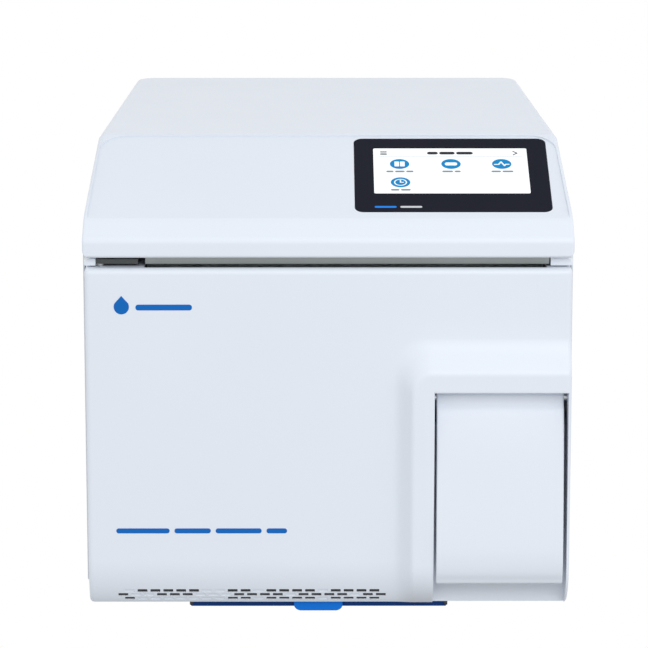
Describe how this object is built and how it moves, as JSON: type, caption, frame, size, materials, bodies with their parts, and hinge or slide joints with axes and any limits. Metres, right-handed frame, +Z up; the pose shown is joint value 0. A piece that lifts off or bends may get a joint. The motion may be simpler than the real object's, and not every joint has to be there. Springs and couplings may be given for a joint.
{
  "type": "benchtop autoclave",
  "caption": "Front-loading benchtop steam autoclave: hinged full-width door with pull handle, sloping display hood, tilting tank lid and slide-out dust filter.",
  "frame": {"origin": "on the ground, at the centre of the whole object's box", "axes": "+X to the right as seen from the front, +Y to the rear, +Z up; the door faces -Y"},
  "size_m": [0.407, 0.54, 0.3865],
  "materials": {
    "white_paint": "satin",
    "white_plastic": "satin",
    "dark_plastic": "matte",
    "grey_plastic": "matte",
    "clear_tank": "satin",
    "blue_plastic": "satin",
    "red_plastic": "gloss",
    "display_black": "gloss",
    "display_lit": "gloss",
    "steel": "brushed",
    "zinc": "satin",
    "aluminium": "satin",
    "brass": "satin",
    "rubber": "matte",
    "silicone": "matte",
    "felt": "matte",
    "filter_mat": "matte",
    "heater": "matte",
    "circuit": "matte"
  },
  "bodies": {
    "housing": {"base_chassis": "zinc", "feet": "rubber", "side_panel_left": "white_paint", "side_panel_right": "white_paint", "rear_panel": "white_paint", "front_frame": "white_paint", "display_hood": "white_plastic", "lid_hinge_pins": "steel", "display_glass": "display_black", "display_screen": "display_lit", "status_light_bars": "display_lit", "display_board": "circuit", "chamber": "steel", "chamber_flange": "steel", "insulation_jacket": "felt", "heater_bands": "heater", "chamber_brackets": "zinc", "chamber_rack": "steel", "tray_1": "aluminium", "tray_2": "aluminium", "tray_3": "aluminium", "feed_tank": "clear_tank", "waste_tank": "clear_tank", "tank_caps": "blue_plastic", "steam_generator": "steel", "vacuum_pump": "aluminium", "feed_pump": "grey_plastic", "valve_block": "brass", "solenoid_valves": "dark_plastic", "condenser": "aluminium", "fan_frame": "dark_plastic", "power_supply": "zinc", "control_board": "circuit", "mains_inlet": "dark_plastic", "mains_switch": "dark_plastic", "safety_valve": "brass", "air_filter": "white_plastic", "pipework": "steel", "drain_couplings": "steel", "lock_motor": "zinc", "hinge_brackets": "dark_plastic", "hinge_pins": "steel", "filter_rails": "zinc", "fasteners": "steel"},
    "door": {"door_shell": "white_plastic", "door_liner": "grey_plastic", "closure_plate": "steel", "door_seal": "silicone", "lock_spindle": "steel", "handle_pin": "steel", "handle_spring": "steel"},
    "handle": {"door_handle": "white_plastic"},
    "latch": {"latch_hook": "zinc"},
    "top_lid": {"top_lid": "white_plastic"},
    "dust_filter": {"dust_filter_frame": "blue_plastic", "dust_filter_mat": "filter_mat"},
    "fan": {"fan_rotor": "dark_plastic"},
    "lock_nut": {"lock_nut": "brass"},
    "lock_pinion": {"lock_pinion": "brass"},
    "rocker": {"switch_rocker": "red_plastic"}
  },
  "joints": [
    {"name": "door_swing", "type": "hinge", "parent": "housing", "child": "door", "pos_m": [-0.1865, -0.234, 0], "axis": [0, 0, -1], "range_deg": [0, 105]},
    {"name": "handle_pull", "type": "hinge", "parent": "door", "child": "handle", "pos_m": [0.1409, -0.2455, 0.1895], "axis": [-1, 0, 0], "range_deg": [0, 18], "stiffness_Nm_per_rad": 1.2, "springref_deg": -5.73},
    {"name": "latch_lift", "type": "hinge", "parent": "door", "child": "latch", "pos_m": [0.141, -0.209, 0.18], "axis": [1, 0, 0], "range_deg": [0, 14.4]},
    {"name": "lid_tilt", "type": "hinge", "parent": "housing", "child": "top_lid", "pos_m": [0, 0.238, 0.356], "axis": [-1, 0, 0], "range_deg": [0, 75]},
    {"name": "filter_slide", "type": "slide", "parent": "housing", "child": "dust_filter", "axis": [0, -1, 0], "range_m": [0, 0.2]},
    {"name": "fan_spin", "type": "hinge", "parent": "housing", "child": "fan", "pos_m": [0.06, 0.23, 0.22], "axis": [0, 1, 0], "continuous": true},
    {"name": "lock_nut_spin", "type": "hinge", "parent": "housing", "child": "lock_nut", "pos_m": [0.15, -0.18, 0.24], "axis": [0, 1, 0], "continuous": true},
    {"name": "lock_pinion_spin", "type": "hinge", "parent": "housing", "child": "lock_pinion", "pos_m": [0.1227, -0.18, 0.24], "axis": [0, 1, 0], "continuous": true},
    {"name": "switch_rock", "type": "hinge", "parent": "housing", "child": "rocker", "pos_m": [-0.138, 0.247, 0.095], "axis": [-1, 0, 0], "range_deg": [0, 16]}
  ],
  "couplings": [
    {"joint": "latch_lift", "follows": "handle_pull", "ratio": 0.8},
    {"joint": "lock_pinion_spin", "follows": "lock_nut_spin", "ratio": -2}
  ]
}
